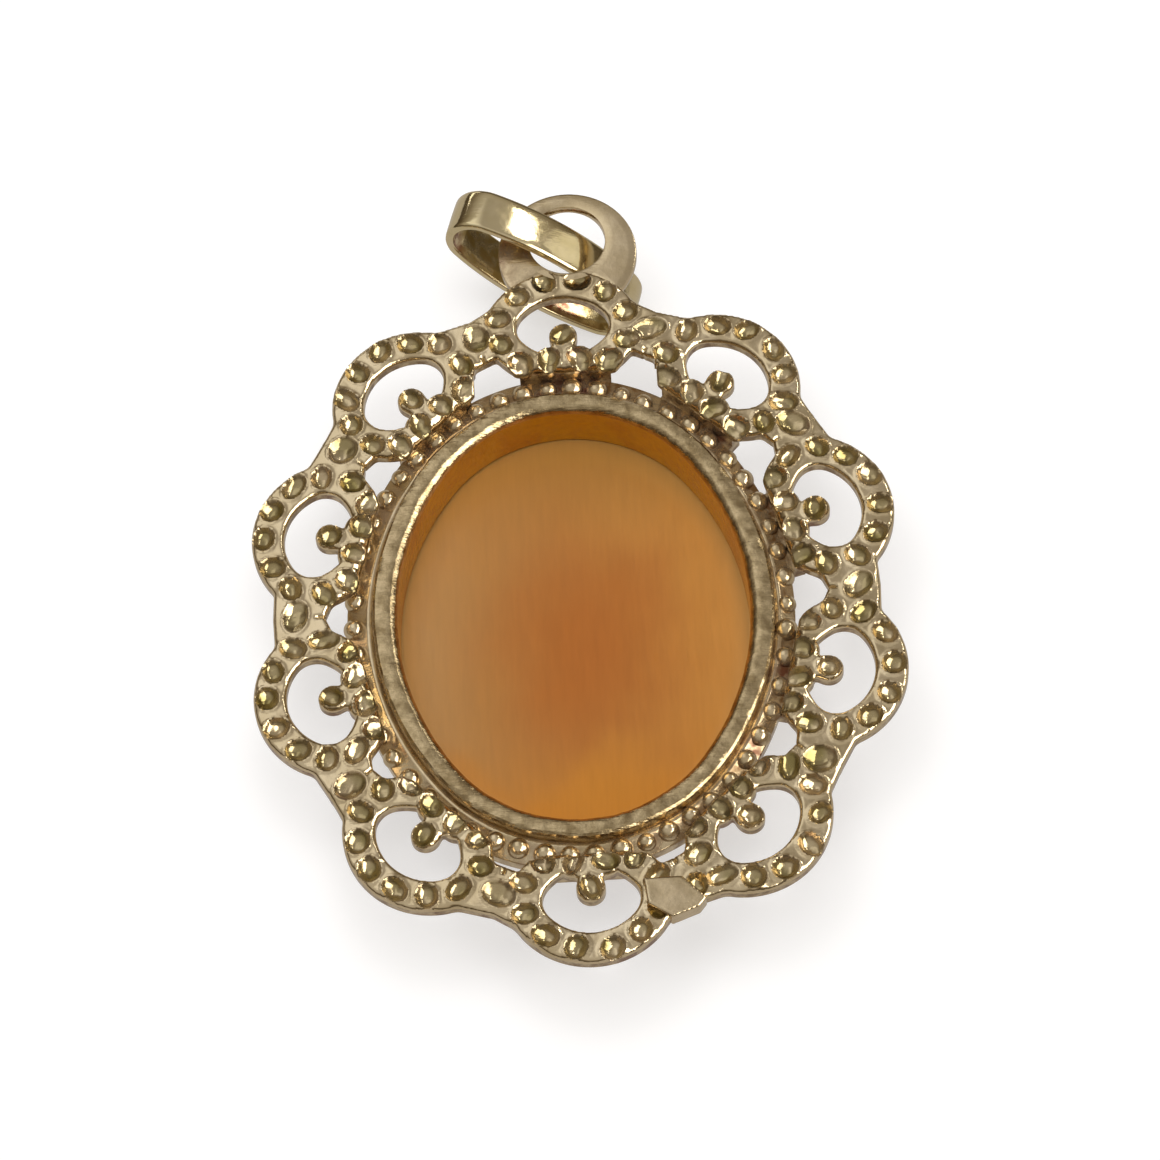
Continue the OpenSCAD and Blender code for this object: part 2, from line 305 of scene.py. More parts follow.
def slab(name, f, box, h, top, bottom, material, levels):
    """A flat piece with outline f < 0: its top and bottom follow top(x, y, d) and bottom(x, y, d), with d the
    way in from the edge, and its wall has a row of points at each level. It also returns the points and how
    many of them are on top."""
    x, y, tri = cut_grid(f, *box, h)
    d = np.maximum(-f(x, y), 0)
    rim = edge_loop(tri)
    zt, zb = top(x, y, d), bottom(x, y, d)
    n = len(x)
    pts = [np.stack([x, y, zt], 1), np.stack([x, y, zb], 1)]
    ids = np.unique(rim)
    where = np.full(n, -1)
    where[ids] = np.arange(len(ids))
    a, b = rim[:, 0], rim[:, 1]
    upper_a, upper_b = a, b
    quads = []
    for k, level in enumerate(levels):
        pts.append(np.stack([x[ids], y[ids], zt[ids] + (zb[ids] - zt[ids]) * level], 1))
        base = 2 * n + k * len(ids)
        quads.append(np.stack([upper_b, upper_a, base + where[a], base + where[b]], 1))
        upper_a, upper_b = base + where[a], base + where[b]
    quads.append(np.stack([upper_b, upper_a, a + n, b + n], 1))
    faces = [list(face) for group in (tri, tri[:, ::-1] + n, *quads) for face in group]
    pts = np.concatenate(pts)
    return mesh(name, pts, faces, material, 50), pts, n


# Helpers for materials
def new_material(name):
    m = bpy.data.materials.new(name)
    m.use_nodes = True
    return m, m.node_tree.nodes, m.node_tree.links, m.node_tree.nodes["Principled BSDF"]


def ramp(nodes, links, value, stops):
    r = nodes.new("ShaderNodeValToRGB")
    while len(r.color_ramp.elements) < len(stops):
        r.color_ramp.elements.new(0.5)
    for element, (place, colour) in zip(r.color_ramp.elements, stops):
        element.position = place
        element.color = (*colour, 1)
    links.new(value, r.inputs["Fac"])
    return r.outputs["Color"]


def noise(nodes, links, vector, scale, detail=4, rough=0.55):
    n = nodes.new("ShaderNodeTexNoise")
    n.inputs["Scale"].default_value = scale
    n.inputs["Detail"].default_value = detail
    n.inputs["Roughness"].default_value = rough
    links.new(vector, n.inputs["Vector"])
    return n.outputs["Fac"]


def calculate(nodes, links, operation, *terms):
    """A math node whose terms are sockets or numbers."""
    n = nodes.new("ShaderNodeMath")
    n.operation = operation
    for place, term in zip(n.inputs, terms):
        if isinstance(term, (int, float)):
            place.default_value = term
        else:
            links.new(term, place)
    return n.outputs[0]


def mapping(nodes, links, vector, kind="POINT", **settings):
    n = nodes.new("ShaderNodeMapping")
    n.vector_type = kind
    for name, value in settings.items():
        n.inputs[name].default_value = value
    links.new(vector, n.inputs["Vector"])
    return n.outputs["Vector"]


def remap(nodes, links, value, start, end, low=0, high=1, smooth=False):
    """From low to high as value goes from start to end."""
    f = nodes.new("ShaderNodeMapRange")
    if smooth:
        f.interpolation_type = "SMOOTHSTEP"
    f.inputs["From Min"].default_value, f.inputs["From Max"].default_value = start, end
    f.inputs["To Min"].default_value, f.inputs["To Max"].default_value = low, high
    links.new(value, f.inputs["Value"])
    return f.outputs["Result"]


def fade(nodes, links, value, start, end):
    """0 to 1 as value goes from start to end, smoothly."""
    return remap(nodes, links, value, start, end, smooth=True)


def blend(nodes, links, a, b, factor):
    """Colour a turning into b, a colour or a socket, as factor goes from 0 to 1."""
    m = nodes.new("ShaderNodeMix")
    m.data_type = "RGBA"
    links.new(factor, m.inputs["Factor"])
    links.new(a, m.inputs["A"])
    if isinstance(b, tuple):
        m.inputs["B"].default_value = (*b, 1)
    else:
        links.new(b, m.inputs["B"])
    return m.outputs["Result"]


def bump(nodes, links, height, strength, distance):
    n = nodes.new("ShaderNodeBump")
    n.inputs["Strength"].default_value = strength
    n.inputs["Distance"].default_value = distance
    links.new(height, n.inputs["Height"])
    return n.outputs["Normal"]


def reach(nodes, links, co, middle, half):
    """How far out a point lies from the middle of an ellipse, 1 on its edge."""
    scaled = mapping(nodes, links, co, "TEXTURE", Location=(*middle, 0), Scale=(*half, 1))
    n = nodes.new("ShaderNodeVectorMath")
    n.operation = "LENGTH"
    links.new(scaled, n.inputs[0])
    return n.outputs["Value"]


# Materials
# Olive painted shade for the dots' hollows, standing in for their dark reflections
PIT_SHADE_COLOUR = (0.27, 0.215, 0.07)


def gold(name, light, dark, grime_and_painted_light, rough, dents, scratch, grain=900, thin=0.25, blotch_tint=(0.8, 0.35, 0.6)):
    """Worn yellow gold: clouded colour, a blotched dark tone from a vertex attribute that is painted shade
    and painted reflection in crevices and hollows with some grime, an olive painted shade in the dots'
    hollows, dents and scratches in the bump.
    """
    m, nodes, links, surface = new_material(name)
    co = nodes.new("ShaderNodeTexCoord").outputs["Object"]
    metal = ramp(nodes, links, noise(nodes, links, co, grain, 5), [(0.35, dark), (0.62, light)])
    painted_light_and_grime_node, pit_shade = (nodes.new("ShaderNodeAttribute") for _ in range(2))
    painted_light_and_grime_node.attribute_name, pit_shade.attribute_name = "grime_and_painted_light", "pit_shade"
    # The dark tone's strength: painted shade and painted reflection from the vertex attribute, blotched like
    # grime
    spots = ramp(nodes, links, noise(nodes, links, co, 2600, 3), [(0.38, (thin,) * 3), (0.6, (1, 1, 1))])
    painted_light_and_grime_mask = calculate(nodes, links, "MULTIPLY", painted_light_and_grime_node.outputs["Fac"], spots)
    blotched_colour = tuple(g * k for g, k in zip(grime_and_painted_light, blotch_tint))
    painted_light_and_grime_colour = ramp(nodes, links, noise(nodes, links, co, 420, 1), [(0.5, grime_and_painted_light), (0.62, blotched_colour)])
    colour = blend(nodes, links, metal, painted_light_and_grime_colour, painted_light_and_grime_mask)
    # Olive painted shade in the dots' hollows, standing in for their dark reflections
    links.new(blend(nodes, links, colour, PIT_SHADE_COLOUR, pit_shade.outputs["Fac"]), surface.inputs["Base Color"])
    links.new(calculate(nodes, links, "MULTIPLY_ADD", painted_light_and_grime_mask, -0.5, 1), surface.inputs["Metallic"])
    polish = [(0.3, (rough * 0.75,) * 3), (0.7, (rough * 1.35,) * 3)]
    links.new(ramp(nodes, links, noise(nodes, links, co, 3500, 3), polish), surface.inputs["Roughness"])
    along = mapping(nodes, links, co, Rotation=(0, 0, 0.5), Scale=(1, 9, 3))
    lines, worn = noise(nodes, links, along, 1500, 3), noise(nodes, links, co, 1800, 4)
    height = calculate(nodes, links, "MULTIPLY_ADD", lines, scratch, worn)
    links.new(bump(nodes, links, height, dents, 0.05 * MM), surface.inputs["Normal"])
    return m


def shell():
    """Polished shell: grey peach at the left, deep orange in the middle, amber at the right, golden at the
    bottom, partly its own colour and partly painted light of its curved, translucent plate, painted lighter
    along the edge to offset the bezel's shade, with faint upright fibres."""
    m, nodes, links, surface = new_material("shell")
    co = nodes.new("ShaderNodeTexCoord").outputs["Object"]
    fibres = noise(nodes, links, mapping(nodes, links, co, Scale=(1, 0.12, 1)), 4500, 3, 0.6)
    clouds = noise(nodes, links, co, 260, 2)
    place = nodes.new("ShaderNodeSeparateXYZ")
    links.new(co, place.inputs[0])
    across = calculate(nodes, links, "MULTIPLY_ADD", clouds, 0.004, place.outputs["X"])
    across = calculate(nodes, links, "MULTIPLY_ADD", fibres, 0.0006, across)
    # Across the shell, grey peach at the left to amber at the right, partly its own colour and partly painted
    # light
    colour = ramp(nodes, links, remap(nodes, links, across, -0.0037, 0.0083), [
        (0.04, (0.375, 0.205, 0.068)), (0.24, (0.37, 0.175, 0.042)), (0.5, (0.39, 0.155, 0.027)),
        (0.84, (0.48, 0.205, 0.033)), (1, (0.50, 0.22, 0.04)),
    ])
    far = reach(nodes, links, co, (0.0005, -0.0021), (0.0045, 0.0053))
    far = calculate(nodes, links, "MULTIPLY_ADD", clouds, 0.8, far)
    low = calculate(nodes, links, "MULTIPLY_ADD", clouds, -0.004, place.outputs["Y"])
    edge = reach(nodes, links, co, (SX * MM, SY * MM), (0.00566, 0.00731))
    # Tints, partly the shell's own colour and partly painted light: a deep orange patch where light shines
    # through the middle, golden at the bottom, duller at the top, and a painted light along the edge that
    # offsets the bezel's shade
    for tint, value, start, end in (
        ((0.365, 0.112, 0.012), far, 1.55, 0.45),
        ((0.48, 0.185, 0.015), low, -0.0065, -0.0098),
        ((0.335, 0.155, 0.024), place.outputs["Y"], 0.0015, 0.006),
        ((0.52, 0.29, 0.085), edge, 0.86, 1.1),
    ):
        colour = blend(nodes, links, colour, tint, fade(nodes, links, value, start, end))
    scale = nodes.new("ShaderNodeVectorMath")
    scale.operation = "SCALE"
    links.new(colour, scale.inputs[0])
    links.new(remap(nodes, links, fibres, 0.3, 0.7, 0.955, 1.045), scale.inputs["Scale"])
    links.new(scale.outputs[0], surface.inputs["Base Color"])
    surface.inputs["Roughness"].default_value = 0.35
    surface.inputs["Specular IOR Level"].default_value = 0.25
    links.new(bump(nodes, links, fibres, 0.15, 0.03 * MM), surface.inputs["Normal"])
    return m


GOLD = gold("gold", (0.76, 0.625, 0.42), (0.64, 0.51, 0.315), (0.16, 0.075, 0.02), 0.14, 0.3, 0.5)
# The rim's gold; its dark-tone colour is the amber of the painted reflection of the shell on the bezel's
# inner wall
RIM = gold(
    "gold_rim", (0.6, 0.47, 0.28), (0.33, 0.24, 0.125), (0.68, 0.37, 0.02), 0.2, 0.8, 0.6,
    grain=2400, thin=0.85, blotch_tint=(0.9, 0.8, 0.9),
)
BAIL = gold("gold_bail", (0.78, 0.66, 0.42), (0.72, 0.6, 0.34), (0.3, 0.2, 0.05), 0.1, 0.1, 0.4)
SHELL = shell()


# Openwork frame
def tongue_f(t, r):
    """The tongue that reaches into an opening: a round tip, its stem and two feet."""
    f = np.hypot(t - TIP_DOT[0], r - TIP_DOT[1]) - TIP_R
    f = smin(f, np.maximum(np.abs(t) - STEM_HALF, np.abs(r - STEM_MIDDLE) - STEM_LENGTH / 2), TONGUE_BLEND)
    for side in (-1, 1):
        f = smin(f, np.hypot(t - FOOT[0] * side, r - FOOT[1]) - FOOT_R, TONGUE_BLEND)
    return f


def web_f(i, x, y):
    """The web between lobe i and the next one, in two halves."""
    before, after = LOBES[i], LOBES[(i + 1) % len(LOBES)]
    t, outer, inner, middle = WEB
    top, low = joint_p(i, DISC_OUT + DISC_R), joint_p(i, middle)
    first = polygon_f(x, y, [from_lobe(before, t, outer), top, low, from_lobe(before, t, inner)])
    second = polygon_f(x, y, [top, from_lobe(after, -t, outer), from_lobe(after, -t, inner), low])
    return np.minimum(first, second)


def sheet_f(x, y):
    """The sheet's outline, below 0 inside the metal."""
    f = np.full_like(x, FAR_OFF)
    opened = np.full_like(x, FAR_OFF)
    for ang in LOBES:
        t, r = in_lobe(ang, x, y)
        f = np.minimum(f, oval(t, r, *(size + STRIP for size in OPEN)))
        opened = np.minimum(opened, np.maximum(oval(t, r, *OPEN), -tongue_f(t, r)))
    for i in range(len(LOBES)):
        p = joint_p(i, DISC_OUT)
        f = smin(f, np.minimum(np.hypot(x - p[0], y - p[1]) - DISC_R, web_f(i, x, y)), OUTLINE_BLEND)
    f = np.maximum(f, -opened)
    for ang in LOBES:
        t, r = in_lobe(ang, x, y)
        half = CUT_DEPTH / 2
        f = np.maximum(f, -np.maximum(np.abs(t) - CUT_HALF, np.abs(r + BASE_CUT + half) - half))
    return np.maximum(f, HOLE_R + 0.04 - np.hypot(x - HOLE[0], y - HOLE[1]))


Dot = namedtuple("Dot", "x y r depth dome_r dome_h lean_x lean_y")


def dot_places():
    """Each dot's place and size, before it gets its small differences."""
    for ang in LOBES:
        for t, r in DOTS:
            for side in (-1, 1):
                yield *from_lobe(ang, side * t, r), *LOBE_SIZE
        yield *from_lobe(ang, *TIP_DOT), *TIP_SIZE
    for i in range(len(LOBES)):
        if i != PLAIN_JOINT:
            yield *joint_p(i), *JOINT_SIZE
    yield *PLATE_DOT, *PLATE_DOT_SIZE


def struck_dots():
    out = []
    for x, y, r, depth, dome_r, dome_h in dot_places():
        j = rng.normal(0, 1, 6)
        x, y = x + PLACE_SPREAD * j[0], y + PLACE_SPREAD * j[1]
        r, depth = r + RADIUS_SPREAD * j[2], depth + DEPTH_SPREAD * j[3]
        out.append(Dot(x, y, r, depth, dome_r, dome_h, LEAN_SPREAD * j[4], LEAN_SPREAD * j[5]))
    return out


STRUCK = struck_dots()


def cap(q, r, h):
    """Height of a ball's cap of radius r and height h, q out from its middle."""
    ball = (r * r + h * h) / (2 * h)
    return np.maximum(np.sqrt(np.maximum(ball * ball - q * q, 0)) - (ball - h), 0) * (q < r)


def in_dot(x, y, dot):
    """Which points lie near a dot, and how far they are from its middle; each dot is a little oval."""
    k = (np.abs(x - dot.x) < DOT_REACH) & (np.abs(y - dot.y) < DOT_REACH)
    dx, dy = x[k] - dot.x, y[k] - dot.y
    turn = np.arctan2(dy, dx) - math.atan2(dot.lean_x, dot.lean_y)
    stretch = 1 + DRAWN_OUT * math.hypot(dot.lean_x, dot.lean_y) * np.cos(2 * turn)
    return k, dx, dy, np.hypot(dx, dy) * stretch


def edge_drop(d, r):
    """How far a rounding of radius r lies below its face, d in from the edge."""
    e = np.clip(r - d, 0, r)
    return r - np.sqrt(np.maximum(r * r - e * e, 0))


def sheet_top(x, y, d):
    """The sheet's back face: soft waves, bevels along the straight cuts, and the dots with raised rims."""
    z = BACK - 0.02
    for height, seed, scale in SHEET_WAVES:
        z = z + height * wave(x, y, seed, scale)
    z -= edge_drop(d, BACK_EDGE)
    for ang in LOBES:
        t, r = in_lobe(ang, x, y)
        from_cut = r + BASE_CUT
        near = (np.abs(t) < BEVEL_HALF) & (from_cut > -0.1)
        z -= np.where(near, np.clip(BEVEL_SLOPE * (CUT_BEVEL - from_cut), 0, None), 0)
    for dot in STRUCK:
        k, dx, dy, q = in_dot(x, y, dot)
        lean = 1 + (dot.lean_x * dx + dot.lean_y * dy) / dot.r
        rim = DOT_RIM_H * np.exp(-((q - dot.r - DOT_RIM_OUT) / DOT_RIM_W) ** 2)
        z[k] += rim - cap(q, dot.r, dot.depth) * lean
        height, seed, scale = HOLLOW_WAVE
        z[k] += height * wave(x[k], y[k], seed, scale, 1) * np.clip((dot.r - q) / 0.1, 0, 1)
    return z


def sheet_bottom(x, y, d):
    """The sheet's front face, with the dots' domes."""
    z = FRONT + 0.7 * edge_drop(d, FRONT_EDGE)
    for dot in STRUCK:
        if dot.dome_h:
            k = (np.abs(x - dot.x) < DOT_REACH) & (np.abs(y - dot.y) < DOT_REACH)
            z[k] -= cap(np.hypot(x[k] - dot.x, y[k] - dot.y), dot.dome_r, dot.dome_h)
    return z


def painted_dot_shade(x, y):
    """Painted shade in the dots: a dark ring along each hollow's edge, with some grime, and inside it an
    olive painted shade that stands in for the hollow's dark reflections.
    """
    dark, pit_shade_amount = np.zeros_like(x), np.zeros_like(x)
    for dot in STRUCK:
        k, _, _, q = in_dot(x, y, dot)
        q = q / dot.r
        inside = np.clip((1.04 - q) / 0.12, 0, 1)
        dark[k] = np.maximum(dark[k], np.maximum(0.15 * inside, 0.85 * np.exp(-((q - 0.93) / 0.1) ** 2)))
        pit_shade_amount[k] = np.maximum(pit_shade_amount[k], inside * np.clip(0.42 + 0.5 * wave(x[k], y[k], 8, 1.6), 0, 0.9))
    return dark, pit_shade_amount


# How much the dark tone darkens the sheet's front face and its cut walls
FRONT_DARKENING, WALL_DARKENING = 0.25, 0.8
STEP = 0.058
SHEET_BOX = (-10.8, -12.7, 10.8, 12.6)
sheet, pts, n = slab("frame", sheet_f, SHEET_BOX, STEP, sheet_top, sheet_bottom, GOLD, (0.08, 0.92))
# Dark tone on the sheet: painted shade in the dots on the back, and a plain darkening of the front face and
# the cut walls
grime_and_painted_light, pit_shade_amount = np.full(len(pts), WALL_DARKENING), np.zeros(len(pts))
grime_and_painted_light[:n], pit_shade_amount[:n] = painted_dot_shade(pts[:n, 0], pts[:n, 1])
grime_and_painted_light[n:2 * n] = FRONT_DARKENING
attribute(sheet, "grime_and_painted_light", grime_and_painted_light)
attribute(sheet, "pit_shade", pit_shade_amount)
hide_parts("mounting")


# Plain plate: how far it stands out of the sheet and its rounding, at the back and at the front
PLATE_BACK_OUT, PLATE_BACK_EDGE = 0.13, 0.05
PLATE_FRONT_OUT, PLATE_FRONT_EDGE = 0.01, 0.03


def plate_f(x, y):
    return polygon_f(x, y, PLATE)


def plate_waves(x, y):
    return 0.006 * wave(x, y, 21, 1.2)


def plate_top(x, y, d):
    return BACK + PLATE_BACK_OUT - edge_drop(d, PLATE_BACK_EDGE) + plate_waves(x, y)


def plate_bottom(x, y, d):
    return FRONT - PLATE_FRONT_OUT + edge_drop(d, PLATE_FRONT_EDGE) + plate_waves(x, y)


PLATE_BOX = (1.5, -11.5, 4.1, -9.4)
plate, pts, _ = slab("plate", plate_f, PLATE_BOX, 0.06, plate_top, plate_bottom, GOLD, (0.1, 0.9))
attribute(plate, "grime_and_painted_light", np.full(len(pts), 0.1))

# Bezel: half width, half height and z of its profile, up the outside, over the rim and down the inside
TURNS = np.arange(420) / 420 * 2 * np.pi
BEZEL = (
    (6.38, 7.90, 0.42), (6.45, 7.97, 0.50), (6.45, 7.97, 1.4), (6.45, 7.97, 2.4), (6.45, 7.97, 3.30),
    (6.43, 7.95, 3.40), (6.36, 7.88, 3.46), (6.2, 7.75, 3.475), (6.04, 7.62, 3.475), (5.93, 7.53, 3.465),
    (5.84, 7.46, 3.44), (5.70, 7.345, 3.32), (5.665, 7.315, 3.23), (5.66, 7.31, 3.1), (5.66, 7.31, 2.2),
    (5.66, 7.31, 1.44), (6.05, 7.70, 1.44), (6.05, 7.70, 0.70), (5.75, 7.40, 0.70), (5.75, 7.40, 0.45),
    (5.78, 7.42, 0.42),
)
# Rows of the rim that get waves and dents, and rows of the inner wall that are painted amber as a painted
# reflection of the orange shell
WORN_RIM, WALL_PAINTED_AMBER = range(4, 13), range(13, 16)
# Height, seed and scale of the waves in the rim, and depth, steps, seed and scale of its dents in the plane
RIM_WAVES, RIM_DENTS = ((0.02, 31, 2.2), (0.008, 32, 0.6)), (0.003, 2.2, 33, 3.0)
# The end arcs of every oval round the shell are this much less in radius than the oval's half width
END_LESS = 0.85


def band_row(a, b):
    """Points round an oval that runs along the bezel."""
    return oval_at(TURNS, a, b, a - END_LESS)


def bezel_rows():
    for k, (a, b, z) in enumerate(BEZEL):
        px, py = band_row(a, b)
        if k in WORN_RIM:
            for height, seed, scale in RIM_WAVES:
                z = z + height * wave(px, py, seed, scale)
            depth, steps, seed, scale = RIM_DENTS
            dent = 1 + depth * np.round(steps * wave(px, py, seed, scale)) / steps
            px, py = px * dent, py * dent
        yield row_at(px, py, z)


pts, faces = loft(list(bezel_rows()), flip=True)
bezel = mesh("bezel", pts, faces, RIM, 32)
# The inner wall is painted amber, a painted reflection of the orange shell
attribute(bezel, "grime_and_painted_light", np.repeat([1.1 if k in WALL_PAINTED_AMBER else 0 for k in range(len(BEZEL))], len(TURNS)))

# Beaded gallery: half width, half height and z of the band's profile; its outer side lies a bit to the left
BAND_SHIFT, SHIFTED_FROM = -0.1, 7
BAND = (
    (7.2, 8.85, 2.40), (7.2, 8.85, 2.78), (7.15, 8.80, 2.82), (6.8, 8.3, 2.86), (6.68, 8.19, 2.98),
    (6.58, 8.09, 3.0), (6.5, 8.02, 2.96), (6.42, 7.94, 2.9), (6.42, 7.94, 2.40),
)
# Each lobe rests on a bracket, whose profile of distance outward and z is stepped at the lobe's straight cut
BRACKET_HALF, STEP_R = 1.5, 0.05 - BASE_CUT
BRACKET = (
    (-2.1, 2.4), (-1.2, 2.4), (-1.2, FRONT + 0.05), (STEP_R, FRONT + 0.05), (STEP_R, 2.82), (-2.1, 2.82),
)
BEADS, BEAD_R, BEAD_OVAL, BEAD_Z = 54, 0.35, (6.95, 8.4), 2.8
BEAD_SIZE_SPREAD, BEAD_PLACE_SPREAD = 0.05, 0.025
ROUND, DOWN = 22, 14


def bracket(ang):
    """Points and outward faces of the bracket at a lobe."""
    sides = (-BRACKET_HALF, BRACKET_HALF)
    points = [(*from_lobe(ang, t, r), z) for t in sides for r, z in BRACKET]
    c = len(BRACKET)
    ends = [list(reversed(range(c))), list(range(c, 2 * c))]
    return points, ends + [[i, (i + 1) % c, c + (i + 1) % c, c + i] for i in range(c)]


def bead(i):
    """Points and outward faces of a bead, with the poles last."""
    a = 2 * math.pi * (i + 0.5) / BEADS
    r = BEAD_R * (1 + rng.normal(0, BEAD_SIZE_SPREAD))
    middle = np.array([BAND_SHIFT + BEAD_OVAL[0] * math.sin(a), BEAD_OVAL[1] * math.cos(a), BEAD_Z])
    middle += rng.normal(0, BEAD_PLACE_SPREAD, 3)
    down, across = np.arange(1, DOWN) * math.pi / DOWN, np.arange(ROUND) * 2 * math.pi / ROUND
    v, u = np.meshgrid(down, across, indexing="ij")
    ball = np.stack([np.sin(v) * np.cos(u), np.sin(v) * np.sin(u), np.cos(v)], -1).reshape(-1, 3)
    top, last = (DOWN - 1) * ROUND, (DOWN - 2) * ROUND
    faces = []
    for k in range(ROUND):
        after = (k + 1) % ROUND
        faces += [[j + k, j + ROUND + k, j + ROUND + after, j + after] for j in range(0, last, ROUND)]
        faces += [[top, k, after], [top + 1, last + after, last + k]]
    return np.concatenate([ball, [[0, 0, 1], [0, 0, -1]]]) * r + middle, faces


def gallery_parts():
    rows = []
    for a, b, z in BAND:
        px, py = band_row(a, b)
        rows.append(row_at(px + (BAND_SHIFT if a > SHIFTED_FROM else 0), py, z))
    yield loft(rows, flip=True)
    for ang in LOBES:
        yield bracket(ang)
    for i in range(BEADS):
        yield bead(i)


pts, faces = [], []
for points, local_faces in gallery_parts():
    faces += [[len(pts) + i for i in face] for face in local_faces]
    pts += list(points)
pts = np.array(pts)
gallery = mesh("gallery", pts, faces, GOLD, 50)
# Painted shade on the gallery, with some grime: darker the lower it lies under the lobes, and weaker towards
# the pendant's left and bottom
SHADE_TOP_Z, SHADE_DEPTH = 3.16, 0.26
shade_by_side = np.clip(0.8 + 0.07 * pts[:, 0] + 0.02 * pts[:, 1], 0.3, 1)
attribute(gallery, "grime_and_painted_light", np.clip((SHADE_TOP_Z - pts[:, 2]) / SHADE_DEPTH, 0.15, 0.95) * shade_by_side)

# Fixed ring: its outside stops at the lobe it is soldered to
RAYS = np.arange(220) / 220 * 2 * np.pi
RING_STOP = 0.95
MARCH, FARTHEST = 0.02, 3.2
RING_LOW, RING_HIGH = 3.43, 3.83


def ring_f(x, y):
    stop = (size + RING_STOP for size in OPEN)
    return np.maximum(np.hypot(x - RING[0], y - RING[1]) - RING_R, -oval(x - SHIFT[0], y - PATH_B, *stop))


def along_rays(s):
    """The points s out from the middle of the ring's hole, one on each ray."""
    return HOLE[0] + s * np.sin(RAYS), HOLE[1] + s * np.cos(RAYS)


def ring_outside():
    """How far the ring's metal reaches along each ray."""
    far = np.full_like(RAYS, FARTHEST)
    for s in np.arange(HOLE_R + MARCH, FARTHEST + 0.1, MARCH):
        far = np.where((ring_f(*along_rays(s)) > 0) & (far > FARTHEST - 0.05), s, far)
    for _ in range(3):
        far = far - np.clip(ring_f(*along_rays(far)), -MARCH, MARCH)
    return far


# Profile of the ring: on its inside or outside, how deep in the metal, and z
INSIDE, OUTSIDE = range(2)
RING_PROFILE = (
    (INSIDE, 0, RING_LOW + 0.08), (INSIDE, 0, RING_HIGH - 0.08), (INSIDE, 0.02, RING_HIGH - 0.02),
    (INSIDE, 0.08, RING_HIGH), (INSIDE, 0.3, RING_HIGH + 0.005), (OUTSIDE, 0.3, RING_HIGH + 0.005),
    (OUTSIDE, 0.1, RING_HIGH - 0.005), (OUTSIDE, 0.025, RING_HIGH - 0.03), (OUTSIDE, 0, RING_HIGH - 0.09),
    (OUTSIDE, 0, RING_LOW + 0.09), (OUTSIDE, 0.025, RING_LOW + 0.03), (OUTSIDE, 0.1, RING_LOW),
    (INSIDE, 0.08, RING_LOW), (INSIDE, 0.02, RING_LOW + 0.02),
)


def ring_rows():
    near, far = np.full_like(RAYS, HOLE_R), ring_outside()
    for side, deep, z in RING_PROFILE:
        s = near + deep if side == INSIDE else np.maximum(far - deep, near + 0.1)
        yield row_at(*along_rays(s), z)


pts, faces = loft(list(ring_rows()))
ring = mesh("ring", pts, faces, GOLD, 40)
# Painted shade on the ring's left leg, growing towards its left: the x it starts at, its growth per
# millimetre, its least and most, and its top
LEG_X, LEG_GROWTH, LEG_LEAST, LEG_MOST, LEG_TOP = -0.6, 0.5, 0.05, 0.6, 13.6
left_leg_shade = np.clip(LEG_LEAST - LEG_GROWTH * (pts[:, 0] - LEG_X), LEG_LEAST, LEG_MOST)
attribute(ring, "grime_and_painted_light", left_leg_shade * (pts[:, 1] < LEG_TOP))

# Bail: its turn about the upright axis, its dip and its roll, its middle, and its section as depth and width
BAIL_TURN, BAIL_DIP, BAIL_ROLL = (math.radians(v) for v in (-20.1, -31.8, 7.9))
BAIL_MIDDLE = np.array([-0.402, 13.476, 2.5])
BAIL_HALF, BAIL_END = (3.585, 1.48), 1.12
BAIL_TURNS = np.arange(260) / 260 * 2 * np.pi
BAIL_SECTION = (
    (0.19, -0.77), (0.11, -0.765), (0.05, -0.745), (0.02, -0.70), (0.008, -0.62), (0.003, -0.4), (0, 0),
    (0.003, 0.4), (0.008, 0.62), (0.02, 0.70), (0.05, 0.745), (0.11, 0.765), (0.19, 0.77), (0.25, 0.765),
    (0.285, 0.74), (0.3, 0.69), (0.3, 0.35), (0.3, 0), (0.3, -0.35), (0.3, -0.69), (0.285, -0.74),
    (0.25, -0.765),
)


def bail_axes():
    """The directions of the bail's length, height and width."""
    flat = math.cos(BAIL_DIP)
    length = np.array([flat * math.cos(BAIL_TURN), flat * math.sin(BAIL_TURN), math.sin(BAIL_DIP)])
    upright = np.array([0, 0, 1.0]) - length * length[2]
    upright /= np.linalg.norm(upright)
    level = np.cross(length, upright)
    c, s = math.cos(BAIL_ROLL), math.sin(BAIL_ROLL)
    return length, upright * c - level * s, level * c + upright * s


def bail_rows():
    length, high, wide = bail_axes()
    for deep, w in BAIL_SECTION:
        py, px = oval_at(BAIL_TURNS, BAIL_HALF[1] - deep, BAIL_HALF[0] - deep, BAIL_END - deep)
        yield BAIL_MIDDLE + px[:, None] * length + py[:, None] * high + w * wide


pts, faces = loft(list(bail_rows()))
bail = mesh("bail_band", pts, faces, BAIL, 50, "bail")
# Painted shade on the bail's inner face, faint on the rest of it
INNER_FACE = 0.29
bail_shade = [0.95 if deep > INNER_FACE else 0.04 for deep, _ in BAIL_SECTION]
attribute(bail, "grime_and_painted_light", np.repeat(bail_shade, len(BAIL_TURNS)))
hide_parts("bail")

# Cameo: half axes and z of the carved face's edge, the oval of the plate, and the height of its back
CARVED_A, CARVED_B, EDGE_Z = 5.5, 7.15, 0.75
SETTING, CAMEO_BACK = (6, 7.65, 5.25), 1.39
# Rose: its middle, the height of its relief, and each whorl's radius, number of petals and turn
ROSE, RELIEF = (0.1, 0.7), 0.75
PETALS = ((0.5, 2, 10), (1.1, 3, 40), (1.75, 4, 15), (2.5, 5, 50), (3.35, 6, 20))
